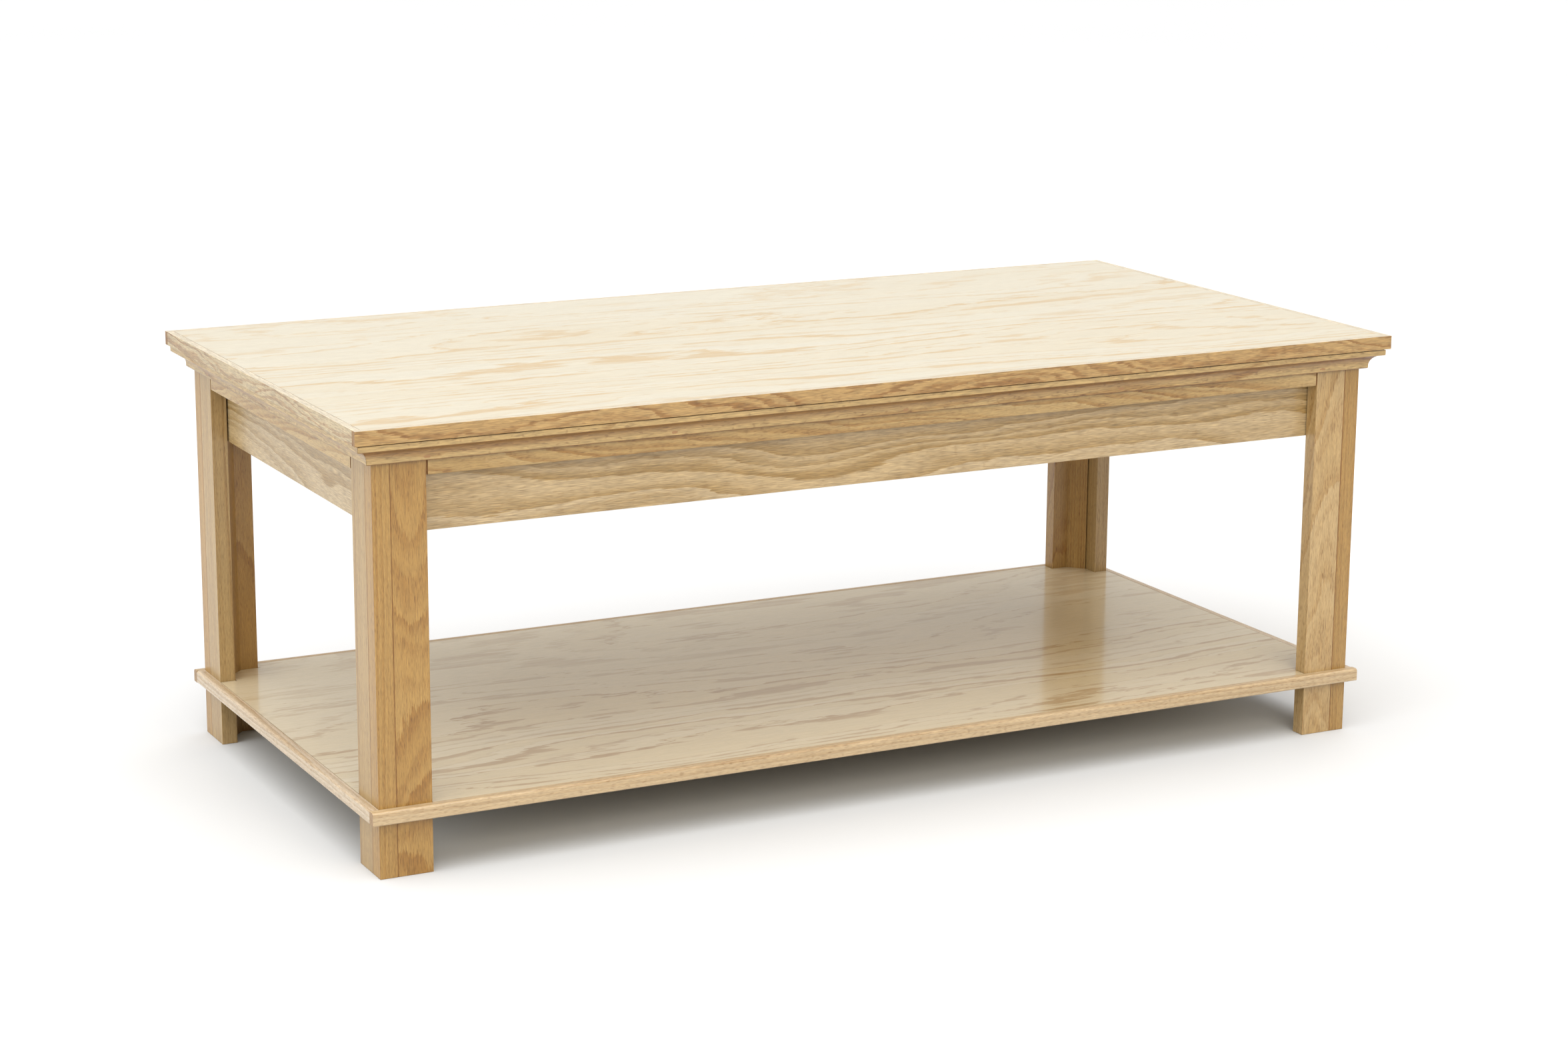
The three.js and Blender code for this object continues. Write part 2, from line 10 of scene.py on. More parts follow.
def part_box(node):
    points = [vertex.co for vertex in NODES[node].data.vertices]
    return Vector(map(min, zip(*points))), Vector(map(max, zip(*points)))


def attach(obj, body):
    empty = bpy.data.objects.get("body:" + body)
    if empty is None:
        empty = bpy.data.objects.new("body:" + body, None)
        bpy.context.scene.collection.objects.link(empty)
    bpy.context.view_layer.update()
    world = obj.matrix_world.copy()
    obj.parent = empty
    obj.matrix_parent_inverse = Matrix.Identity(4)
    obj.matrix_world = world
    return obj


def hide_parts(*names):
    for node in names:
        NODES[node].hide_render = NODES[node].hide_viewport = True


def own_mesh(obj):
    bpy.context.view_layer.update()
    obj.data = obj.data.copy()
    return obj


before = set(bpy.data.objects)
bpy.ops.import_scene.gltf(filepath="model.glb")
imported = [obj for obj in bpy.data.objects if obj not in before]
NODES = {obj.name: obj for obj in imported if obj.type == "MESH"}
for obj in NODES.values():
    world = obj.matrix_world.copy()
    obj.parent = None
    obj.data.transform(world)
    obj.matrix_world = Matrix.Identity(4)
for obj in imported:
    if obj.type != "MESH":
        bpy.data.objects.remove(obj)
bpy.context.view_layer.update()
MM = 0.001

CORNERS = ["front_left", "front_right", "back_left", "back_right"]
SIDES = ["front", "right", "back", "left"]
ENDS = ["right", "left"]


# ------------------------------------------------------------------ shader graph helper

class Graph:
    """Adds shader nodes to one new material and joins them; a value is a number, colour or socket."""

    def __init__(self, name):
        self.material = bpy.data.materials.new(name)
        self.material.use_nodes = True
        self.tree = self.material.node_tree
        self.tree.nodes.clear()
        self.output = self.node("OutputMaterial")

    def node(self, kind, values=None, **settings):
        made = self.tree.nodes.new("ShaderNode" + kind)
        for key, value in settings.items():
            setattr(made, key, value)
        for socket, value in (values or {}).items():
            self.set(made.inputs[socket], value)
        return made

    def set(self, socket, value):
        if isinstance(value, bpy.types.NodeSocket):
            self.tree.links.new(value, socket)
        else:
            socket.default_value = value

    def math(self, operation, *values, clamp=False):
        made = self.node("Math", dict(enumerate(values)), operation=operation, use_clamp=clamp)
        return made.outputs[0]

    def vector(self, operation, *values):
        made = self.node("VectorMath", dict(enumerate(values)), operation=operation)
        return made.outputs["Value" if operation in ("LENGTH", "DISTANCE", "DOT_PRODUCT") else 0]

    def noise(self, place, stretch, detail=2.0, roughness=0.5):
        """Noise from -0.5 to 0.5 whose features are one over `stretch` metres long along X, Y, Z."""
        values = {
            "Vector": self.vector("MULTIPLY", place, stretch),
            "Scale": 1.0,
            "Detail": detail,
            "Roughness": roughness,
        }
        return self.math("SUBTRACT", self.node("TexNoise", values).outputs["Fac"], 0.5)

    def ramp(self, factor, stops):
        """Greys or colours at places from 0 to 1 along the factor."""
        made = self.node("ValToRGB", {"Fac": factor})
        elements = made.color_ramp.elements
        while len(elements) < len(stops):
            elements.new(1.0)
        for element, (position, colour) in zip(elements, stops):
            element.position = position
            grey = (colour, colour, colour)
            element.color = (*(grey if isinstance(colour, float) else colour), 1.0)
        return made.outputs["Color"]

    def blend(self, factor, first, second):
        """The first colour at factor 0, the second at factor 1."""
        made = self.node("Mix", data_type="RGBA")
        values = (factor, first, second)
        sockets = (made.inputs[0], made.inputs[6], made.inputs[7])
        for socket, value in zip(sockets, values):
            is_colour = isinstance(value, tuple)
            self.set(socket, (*value, 1.0) if is_colour else value)
        return made.outputs[2]

    def scale(self, colour, factor):
        """A colour multiplied by a number."""
        return self.vector("MULTIPLY", colour, self.node(
            "CombineXYZ", {0: factor, 1: factor, 2: factor}).outputs[0])

    def bump(self, height, distance, strength=1.0):
        return self.node("Bump", {
            "Height": height, "Distance": distance, "Strength": strength}).outputs["Normal"]

    def finish(self, values):
        shader = self.node("BsdfPrincipled", values)
        self.tree.links.new(shader.outputs["BSDF"], self.output.inputs["Surface"])
        return self.material


# ------------------------------------------------------------------ oak

GRAIN_TURNS = {
    "X": Matrix.Identity(3),
    "Y": Matrix(((0, 1, 0), (1, 0, 0), (0, 0, 1))),
    "Z": Matrix(((0, 0, 1), (1, 0, 0), (0, 1, 0))),
}


def board_place(graph, middle, grain):
    """Place inside a board: X runs along its grain, measured from its middle."""
    place = graph.node("TexCoord").outputs["Object"]
    place = graph.vector("SUBTRACT", place, middle)
    rows = [graph.vector("DOT_PRODUCT", place, tuple(row)) for row in GRAIN_TURNS[grain]]
    return graph.node("CombineXYZ", dict(enumerate(rows))).outputs[0]


def along_grain(graph, grain):
    """How squarely a face cuts across the grain: 0 on long faces, 1 on end grain."""
    normal = graph.node("TexCoord").outputs["Normal"]
    facing = graph.vector("DOT_PRODUCT", normal, tuple(GRAIN_TURNS[grain][0]))
    return graph.math("POWER", graph.math("ABSOLUTE", facing), 4.0)


def growth_rings(graph, place, seeded, cut):
    """Where a point lies in its growth ring, 0 to 1, and a random number for that ring."""
    x, y, z = graph.node("SeparateXYZ", {0: place}).outputs
    across = graph.math("SUBTRACT", y, cut["pith"][0])
    deep = graph.math("SUBTRACT", z, cut["pith"][1])
    deep = graph.math("MULTIPLY_ADD", x, -cut["tilt"], deep)
    distance = graph.math("SQRT", graph.math(
        "MULTIPLY_ADD", across, across, graph.math("MULTIPLY", deep, deep)))
    for size, stretch, detail in cut["waves"]:
        wave = graph.noise(seeded, stretch, detail)
        distance = graph.math("MULTIPLY_ADD", wave, size, distance)
    count = graph.math("DIVIDE", distance, cut["ring"])
    uneven = graph.node("TexNoise", {"W": count, "Scale": 0.6, "Detail": 0.0}, noise_dimensions="1D")
    count = graph.math("MULTIPLY_ADD", uneven.outputs["Fac"], 1.2, count)
    number = graph.math("FLOOR", count)
    chance = graph.node("TexWhiteNoise", {"W": number}, noise_dimensions="1D").outputs["Value"]
    return graph.math("FRACT", count), chance


def darker_hollows(graph, colour, tone):
    """Painted shade: darkens the faces that look down, such as the upper part of a moulding's cove, as
    if they lay in shade.
    """
    normal = graph.node("TexCoord").outputs["Normal"]
    down = graph.math("MULTIPLY", graph.vector("DOT_PRODUCT", normal, (0.0, 0.0, -1.0)), 1.3, clamp=True)
    return graph.blend(down, colour, graph.vector("MULTIPLY", colour, tone))


def glue_and_shadow_lines(graph, colour, seams, tone):
    """A thin darker line on both sides of each seam: glue at a glued joint, painted shadow in the crease
    where a moulding meets its rail; a seam is an axis and a place on it.
    """
    place = graph.node("TexCoord").outputs["Object"]
    parts = graph.node("SeparateXYZ", {0: place}).outputs
    broken = graph.noise(place, (30.0, 30.0, 30.0), 2.0)
    for axis, coordinate in seams:
        away = graph.math("ABSOLUTE", graph.math("SUBTRACT", parts[axis], coordinate))
        line = graph.math("MULTIPLY_ADD", away, -1 / (0.8 * MM), 1.1)
        line = graph.math("ADD", line, broken, clamp=True)
        colour = graph.blend(line, colour, graph.vector("MULTIPLY", colour, tone))
    return colour


def nail_putty(graph, colour, axis, height, pitch, tone):
    """Putty over the nails: small ovals every `pitch` metres along a moulding."""
    place = graph.node("TexCoord").outputs["Object"]
    parts = graph.node("SeparateXYZ", {0: place}).outputs
    along = graph.math("DIVIDE", graph.math("PINGPONG", parts[axis], pitch / 2), 4.0 * MM)
    above = graph.math("DIVIDE", graph.math("SUBTRACT", parts[2], height), 1.9 * MM)
    away = graph.math("SQRT", graph.math("MULTIPLY_ADD", along, along, graph.math("POWER", above, 2.0)))
    ragged = graph.noise(place, (300.0, 300.0, 300.0), 2.0)
    away = graph.math("MULTIPLY_ADD", ragged, 0.9, away)
    mask = graph.math("MULTIPLY_ADD", away, -4.0, 4.0, clamp=True)
    return graph.blend(graph.math("MULTIPLY", mask, 0.8), colour, tone)


def oak(name, middle, grain, tones, cut, gloss, seams):
    """Clear-coated red oak: rings, pores, fibres, slow colour drift and darker end grain."""
    graph = Graph(name)
    chance = random.Random(name)
    shift = tuple(chance.uniform(-20.0, 20.0) for _ in range(3))
    tint = 1.0 + chance.uniform(-1.0, 1.0) * tones["spread"]
    place = board_place(graph, middle, grain)
    seeded = graph.vector("ADD", place, shift)
    rings, ring_chance = growth_rings(graph, place, seeded, cut)

    drift = graph.noise(seeded, (1.5, 9.0, 9.0), 3.0)
    fibre = graph.noise(seeded, (28.0, 850.0, 850.0), 1.0)
    fine = graph.noise(seeded, (cut["dash"], 1900.0, 1900.0), 1.0)
    streak = graph.noise(seeded, (6.0, 95.0, 95.0), 3.0, 0.6)
    pore = graph.noise(seeded, (cut["dash"], 1500.0, 1500.0), 0.0)
    ray = graph.noise(seeded, (170.0, 900.0, 300.0), 0.0)

    if "swell" in cut:
        place_size, least, most = cut["swell"]
        swell = graph.noise(seeded, place_size, 2.0, 0.6)
        width = graph.math("MAXIMUM", graph.math("MULTIPLY_ADD", swell, most, least), 0.08)
        rings = graph.math("DIVIDE", rings, width, clamp=True)
    early = graph.ramp(rings, cut["profile"])
    force = graph.math("MULTIPLY_ADD", ring_chance, cut["uneven"], 1.0 - cut["uneven"])
    force = graph.math("MULTIPLY_ADD", streak, 0.9, force)
    early = graph.math("MULTIPLY", early, force, clamp=True)
    colour = graph.blend(early, tones["late"], tones["early"])
    band = graph.math("MULTIPLY_ADD", streak, 0.7, ring_chance)
    band = graph.math("MULTIPLY_ADD", drift, 1.4, band)
    band = graph.math("MULTIPLY", band, cut["band"], clamp=True)
    colour = graph.blend(band, colour, graph.vector("MULTIPLY", colour, tones["drift"]))
    light = graph.math("MULTIPLY_ADD", fibre, cut["fibre"], tint)
    light = graph.math("MULTIPLY_ADD", fine, cut["fine"], light)
    colour = graph.scale(colour, light)

    pores = graph.math("MULTIPLY_ADD", pore, 8.0, -0.7, clamp=True)
    pores = graph.math("MULTIPLY", pores, graph.math("MULTIPLY_ADD", early, 0.75, 0.25))
    colour = graph.blend(graph.math("MULTIPLY", pores, cut["pores"]), colour, tones["pore"])
    rays = graph.math("MULTIPLY_ADD", ray, 8.0, -1.2, clamp=True)
    colour = graph.blend(graph.math("MULTIPLY", rays, cut["rays"]), colour, tones["pore"])

    ends = along_grain(graph, grain)
    colour = graph.blend(ends, colour, graph.vector("MULTIPLY", colour, tones["end"]))
    colour = glue_and_shadow_lines(graph, colour, seams, (0.60, 0.44, 0.30))
    # Painted shade on the faces that look down.
    if "hollow" in tones:
        colour = darker_hollows(graph, colour, tones["hollow"])
    if "nails" in tones:
        colour = nail_putty(graph, colour, *tones["nails"])
    # Painted highlight: faces that look up blend to a paler, less saturated colour that stands in for
    # the strong light falling on the top.
    if "upper" in tones:
        up = graph.vector("DOT_PRODUCT", graph.node("TexCoord").outputs["Normal"], (0.0, 0.0, 1.0))
        up = graph.math("MULTIPLY_ADD", up, 4.0, -3.15, clamp=True)
        colour = graph.blend(up, colour, graph.scale(tones["upper"], light))

    height = graph.math("MULTIPLY_ADD", pores, -1.0, graph.math("MULTIPLY", fibre, 0.5))
    rough = graph.math("MULTIPLY_ADD", fibre, 0.12, gloss["rough"])
    return graph.finish({
        "Base Color": colour,
        "Roughness": graph.math("MULTIPLY_ADD", ends, 0.2, rough, clamp=True),
        "IOR": 1.5,
        "Coat Weight": gloss["coat"],
        "Coat Roughness": gloss["coat_rough"],
        "Coat IOR": 1.5,
        "Normal": graph.bump(height, 0.03 * MM, 0.4),
    })


RING_PROFILE = [(0.0, 0.5), (0.08, 1.0), (0.35, 0.8), (0.6, 0.2), (0.8, 0.0), (1.0, 0.1)]
STREAK_PROFILE = [(0.0, 0.3), (0.08, 0.9), (0.28, 0.8), (0.45, 0.15), (0.65, 0.0), (1.0, 0.0)]
LINE_PROFILE = [(0.0, 0.35), (0.15, 0.9), (0.7, 0.75), (0.9, 0.35), (1.0, 0.0)]
PATCH_PROFILE = [(0.0, 0.1), (0.05, 1.0), (0.32, 0.9), (0.42, 0.2), (0.6, 0.0), (1.0, 0.0)]
BAND_PROFILE = [(0.0, 0.1), (0.06, 1.0), (0.2, 0.8), (0.42, 0.65), (0.6, 0.3), (0.78, 0.05), (1.0, 0.0)]

TOP_TONES = {
    "late": (0.514, 0.472, 0.378),
    "early": (0.455, 0.324, 0.166),
    "pore": (0.38, 0.225, 0.095),
    "drift": (0.98, 0.935, 0.86),
    "end": (0.70, 0.60, 0.48),
    "spread": 0.0,
}
LEG_TONES = {
    "late": (0.325, 0.190, 0.054),
    "early": (0.254, 0.128, 0.027),
    "pore": (0.14, 0.060, 0.012),
    "drift": (0.90, 0.83, 0.66),
    "end": (0.62, 0.52, 0.42),
    "spread": 0.05,
}
PALE_LEG_TONES = {
    "late": (0.330, 0.217, 0.087),
    "early": (0.257, 0.147, 0.048),
    "pore": (0.16, 0.080, 0.024),
    "drift": (0.91, 0.87, 0.78),
    "end": (0.62, 0.52, 0.42),
    "spread": 0.04,
}
SOFT_LEG_TONES = dict(LEG_TONES, late=(0.395, 0.270, 0.125), early=(0.335, 0.210, 0.082))
APRON_TONES = {
    "late": (0.410, 0.304, 0.172),
    "early": (0.272, 0.174, 0.062),
    "pore": (0.21, 0.110, 0.028),
    "drift": (0.95, 0.88, 0.70),
    "end": (0.62, 0.52, 0.42),
    "spread": 0.03,
}
EDGE_TONES = {
    "late": (0.425, 0.288, 0.118),
    "early": (0.315, 0.172, 0.046),
    "pore": (0.15, 0.065, 0.018),
    "drift": (0.86, 0.80, 0.68),
    "end": (0.62, 0.52, 0.42),
    "spread": 0.04,
}
SLAB_TONES = {
    "late": (0.345, 0.214, 0.079),
    "early": (0.218, 0.104, 0.024),
    "pore": (0.15, 0.062, 0.014),
    "drift": (0.88, 0.82, 0.70),
    "end": (0.66, 0.56, 0.46),
    "spread": 0.03,
}
PALE_EDGE_TONES = {
    "late": (0.44, 0.325, 0.190),
    "early": (0.34, 0.225, 0.110),
    "pore": (0.18, 0.09, 0.03),
    "drift": (0.88, 0.82, 0.72),
    "end": (0.66, 0.56, 0.46),
    "spread": 0.04,
}
SHELF_TONES = {
    "late": (0.548, 0.464, 0.318),
    "early": (0.325, 0.205, 0.086),
    "pore": (0.26, 0.15, 0.055),
    "drift": (0.93, 0.87, 0.74),
    "end": (0.70, 0.60, 0.48),
    "spread": 0.0,
}

SATIN = {"rough": 0.42, "coat": 0.35, "coat_rough": 0.22}
POLISHED = {"rough": 0.34, "coat": 1.0, "coat_rough": 0.12}

SHEET_CUT = {
    "pith": (0.35, -0.9),
    "tilt": 0.0,
    "ring": 9.0 * MM,
    "swell": ((7.0, 42.0, 0.0), 0.22, 1.9),
    "dash": 75.0,
    "waves": [
        (0.085, (1.5, 6.0, 0.0), 1.0),
        (0.012, (8.0, 30.0, 0.0), 2.0),
        (0.007, (26.0, 240.0, 0.0), 2.0),
    ],
    "profile": LINE_PROFILE,
    "uneven": 0.7,
    "band": 0.8,
    "fibre": 0.25,
    "fine": 0.3,
    "pores": 0.35,
    "rays": 0.12,
}
APRON_CUT = {
    "dash": 75.0,
    "pith": (0.01, -0.09),
    "tilt": 0.03,
    "ring": 17.0 * MM,
    "waves": [
        (0.135, (2.4, 10.0, 10.0), 1.0),
        (0.024, (9.0, 42.0, 42.0), 2.0),
        (0.005, (45.0, 650.0, 650.0), 2.0),
    ],
    "profile": BAND_PROFILE,
    "uneven": 0.35,
    "band": 0.7,
    "fibre": 0.55,
    "fine": 1.5,
    "pores": 0.8,
    "rays": 0.2,
}
SLAB_CUT = {
    "dash": 90.0,
    "pith": (0.004, -0.10),
    "tilt": 0.08,
    "ring": 12.0 * MM,
    "waves": [
        (0.110, (4.5, 9.0, 9.0), 1.0),
        (0.014, (22.0, 90.0, 90.0), 2.0),
        (0.008, (60.0, 650.0, 650.0), 2.0),
    ],
    "profile": PATCH_PROFILE,
    "uneven": 0.6,
    "band": 0.35,
    "fibre": 0.55,
    "fine": 1.5,
    "pores": 0.9,
    "rays": 0.25,
}
EDGE_CUT = {
    "dash": 90.0,
    "pith": (0.004, -0.06),
    "tilt": 0.08,
    "ring": 9.0 * MM,
    "waves": [
        (0.050, (7.0, 16.0, 16.0), 1.0),
        (0.008, (22.0, 80.0, 80.0), 2.0),
        (0.004, (35.0, 450.0, 450.0), 2.0),
    ],
    "profile": STREAK_PROFILE,
    "uneven": 0.6,
    "band": 0.5,
    "fibre": 0.55,
    "fine": 1.5,
    "pores": 0.8,
    "rays": 0.25,
}
MOULDING_CUT = dict(EDGE_CUT, uneven=0.9, band=0.2, ring=20.0 * MM, pores=1.0, rays=0.38)
FLAT_CUT = {
    "dash": 140.0,
    "pith": (0.004, -0.085),
    "tilt": 0.15,
    "ring": 8.0 * MM,
    "waves": [
        (0.045, (5.0, 14.0, 14.0), 1.0),
        (0.006, (18.0, 80.0, 80.0), 2.0),
        (0.004, (60.0, 600.0, 600.0), 2.0),
    ],
    "profile": RING_PROFILE,
    "uneven": 0.7,
    "band": 0.9,
    "fibre": 0.40,
    "fine": 0.75,
    "pores": 0.8,
    "rays": 0.25,
}
RIFT_CUT = {
    "dash": 140.0,
    "pith": (0.07, -0.07),
    "tilt": 0.006,
    "ring": 3.6 * MM,
    "waves": [
        (0.012, (1.5, 8.0, 8.0), 1.0),
        (0.0016, (12.0, 90.0, 90.0), 2.0),
        (0.0012, (30.0, 600.0, 600.0), 2.0),
    ],
    "profile": RING_PROFILE,
    "uneven": 0.9,
    "band": 0.5,
    "fibre": 0.40,
    "fine": 0.75,
    "pores": 0.8,
    "rays": 0.25,
}


PITH_SPREAD = 10 * MM


def centre_of(node):
    low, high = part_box(node)
    return tuple((low + high) / 2)


def with_pith(cut, chance):
    """The same cut with its own pith place, so that no two boards share a figure."""
    across, deep = cut["pith"]
    moved = dict(cut)
    aside = chance.uniform(-PITH_SPREAD, PITH_SPREAD)
    moved["pith"] = (across + aside, deep * chance.uniform(0.8, 1.3))
    moved["tilt"] = cut["tilt"] * chance.choice((-1.0, 1.0)) * chance.uniform(0.7, 1.3)
    return moved


def dress_oak(node, grain, tones, cut, gloss=SATIN, seams=()):
    """Gives a board its own oak; a seam is where a dark line crosses it: glue at a joint, painted shadow
    at a moulding's foot.
    """
    own_cut = with_pith(cut, random.Random("cut " + node))
    wear(node, oak("oak_" + node, centre_of(node), grain, tones, own_cut, gloss, seams))


def post_seams(corner):
    """The two planes where a corner post is glued to its wings."""
    low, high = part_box(f"leg_post_{corner}")
    middle = (low + high) / 2
    return [(axis, low[axis] if middle[axis] > 0 else high[axis]) for axis in (0, 1)]


# ------------------------------------------------------------------ other materials

def plywood():
    """Pale birch veneer with plies along the edges."""
    graph = Graph("birch_plywood")
    place = graph.node("TexCoord").outputs["Object"]
    veneer = graph.noise(place, (1.5, 14.0, 0.0), 3.0)
    fibre = graph.noise(place, (10.0, 300.0, 300.0), 2.0)
    plies = graph.noise(place, (1.0, 1.0, 700.0), 0.0)
    colour = graph.blend(
        graph.math("MULTIPLY_ADD", veneer, 2.0, 0.5, clamp=True),
        (0.78, 0.64, 0.42), (0.66, 0.50, 0.30))
    light = graph.math("MULTIPLY_ADD", fibre, 0.25, 1.0)
    light = graph.math("MULTIPLY_ADD", plies, 0.10, light)
    return graph.finish({
        "Base Color": graph.scale(colour, light),
        "Roughness": graph.math("MULTIPLY_ADD", fibre, 0.2, 0.5),
        "Coat Weight": 0.2,
        "Coat Roughness": 0.3,
        "Normal": graph.bump(fibre, 0.05 * MM, 0.4),
    })


def black_powder_coat():
    """Black paint with a fine orange peel and a little dust."""
    graph = Graph("black_powder_coat")
    place = graph.node("TexCoord").outputs["Object"]
    peel = graph.noise(place, (900.0, 900.0, 900.0), 2.0)
    dust = graph.noise(place, (25.0, 25.0, 25.0), 4.0)
    shade = graph.math("MULTIPLY_ADD", dust, 0.6, 0.5, clamp=True)
    return graph.finish({
        "Base Color": graph.blend(shade, (0.012, 0.012, 0.013), (0.030, 0.030, 0.032)),
        "Roughness": graph.math("MULTIPLY_ADD", peel, 0.3, 0.48),
        "Coat Weight": 0.25,
        "Coat Roughness": 0.35,
        "Normal": graph.bump(peel, 0.05 * MM, 0.6),
    })


def steel(name, bright, dark, rough, brush):
    """Plated or oiled steel with fine lines along the wire or round the turned face."""
    graph = Graph(name)
    place = graph.node("TexCoord").outputs["Object"]
    lines = graph.noise(place, brush, 2.0)
    blot = graph.noise(place, (120.0, 120.0, 120.0), 3.0)
    shade = graph.math("MULTIPLY_ADD", blot, 1.6, 0.5, clamp=True)
    return graph.finish({
        "Base Color": graph.blend(shade, bright, dark),
        "Metallic": 1.0,
        "Roughness": graph.math("MULTIPLY_ADD", lines, 0.3, rough, clamp=True),
        "Normal": graph.bump(lines, 0.02 * MM, 0.4),
    })


def felt():
    """Pressed grey-brown fibres."""
    graph = Graph("grey_felt")
    place = graph.node("TexCoord").outputs["Object"]
    fuzz = graph.noise(place, (1500.0, 1500.0, 1500.0), 4.0)
    colour = graph.blend(
        graph.math("MULTIPLY_ADD", fuzz, 2.0, 0.5, clamp=True),
        (0.30, 0.27, 0.23), (0.15, 0.13, 0.11))
    return graph.finish({
        "Base Color": colour,
        "Roughness": 0.95,
        "Sheen Weight": 0.5,
        "Normal": graph.bump(fuzz, 0.1 * MM, 1.0),
    })


def filler():
    """Dried glue mixed with sanding dust."""
    graph = Graph("wood_filler")
    place = graph.node("TexCoord").outputs["Object"]
    grit = graph.noise(place, (700.0, 700.0, 700.0), 3.0)
    stain = graph.noise(place, (60.0, 60.0, 60.0), 3.0)
    colour = graph.blend(
        graph.math("MULTIPLY_ADD", stain, 2.0, 0.5, clamp=True),
        (0.25, 0.125, 0.040), (0.15, 0.065, 0.018))
    return graph.finish({
        "Base Color": colour,
        "Roughness": graph.math("MULTIPLY_ADD", grit, 0.2, 0.7),
        "Normal": graph.bump(grit, 0.1 * MM, 0.8),
    })


# ------------------------------------------------------------------ edges of the CAD pieces

def wear(node, material):
    """Gives a CAD piece its material."""
    piece = NODES[node]
    piece.data.materials.clear()
    piece.data.materials.append(material)


def weld(node):
    """Joins the shared corners of an imported mesh, in a modifier, and clears its flat shading."""
    piece = NODES[node]
    piece.data.shade_smooth()
    normals = piece.data.attributes.get("custom_normal")
    if normals:
        piece.data.attributes.remove(normals)
    piece.modifiers.new("weld", "WELD").merge_threshold = 0.01 * MM
    return piece


def ease(node, width):
    """Rounds the sharp arrises of a flat-faced piece."""
    piece = weld(node)
    flatten = piece.modifiers.new("flatten", "DECIMATE")
    flatten.decimate_type = "DISSOLVE"
    flatten.angle_limit = math.radians(0.5)
    bevel = piece.modifiers.new("bevel", "BEVEL")
    bevel.width = width
    bevel.segments = 2
    bevel.limit_method = "ANGLE"
    bevel.angle_limit = math.radians(30)
    bevel.harden_normals = True


def smooth(node):
    """Shades the curved faces of a piece as curves and keeps its sharp edges."""
    piece = weld(node)
    shade = piece.modifiers.new("smooth by angle", "NODES")
    shade.node_group = smooth_by_angle()
    piece.modifiers.new("weighted normals", "WEIGHTED_NORMAL").keep_sharp = True


def smooth_by_angle():
    """Geometry nodes that mark edges over 30 degrees as sharp."""
    name = "smooth by angle"
    if name in bpy.data.node_groups:
        return bpy.data.node_groups[name]
    group = bpy.data.node_groups.new(name, "GeometryNodeTree")
    group.interface.new_socket("Mesh", in_out="INPUT", socket_type="NodeSocketGeometry")
    group.interface.new_socket("Mesh", in_out="OUTPUT", socket_type="NodeSocketGeometry")
    start = group.nodes.new("NodeGroupInput")
    end = group.nodes.new("NodeGroupOutput")
    angle = group.nodes.new("GeometryNodeInputMeshEdgeAngle")
    gentle = group.nodes.new("FunctionNodeCompare")
    gentle.operation = "LESS_THAN"
    gentle.inputs["B"].default_value = math.radians(30)
    shade = group.nodes.new("GeometryNodeSetShadeSmooth")
    shade.domain = "EDGE"
    group.links.new(start.outputs[0], shade.inputs["Geometry"])
    group.links.new(angle.outputs["Unsigned Angle"], gentle.inputs["A"])
    group.links.new(gentle.outputs["Result"], shade.inputs["Shade Smooth"])
    group.links.new(shade.outputs[0], end.inputs[0])
    return group


# ------------------------------------------------------------------ dressing the table

BOARD_ARRIS = 0.25 * MM
APRON_ARRIS = 0.5 * MM
NAIL_ROWS = {"X": 265 * MM, "Y": 210 * MM}  # spacing of the nails in a moulding, by its grain
NAIL_HEIGHT = 4 * MM
PUTTY_TONE = (0.31, 0.15, 0.055)
# Painted shade for the faces of a moulding that look down.
PAINTED_DOWN_SHADE_TONE = (0.50, 0.345, 0.195)


def grain_of(side):
    """Boards run along the side of the table that they are on."""
    return "X" if side in ("front", "back") else "Y"


def dress_top():
    dress_oak("top_panel", "X", TOP_TONES, SHEET_CUT)
    # The upper colour is a painted highlight on the edgings' faces that look up.
    long_tones = dict(SLAB_TONES, upper=(0.525, 0.460, 0.350))
    # Painted light: the end edgings get a paler, less saturated colour that stands in for the bright
    # cool light on the table's end.
    painted_light_end_tones = dict(long_tones, late=(0.375, 0.285, 0.155))
    for side in SIDES:
        grain = grain_of(side)
        tones = long_tones if grain == "X" else painted_light_end_tones
        dress_oak(f"top_edging_{side}", grain, tones, SLAB_CUT)
        ease(f"top_edging_{side}", BOARD_ARRIS)


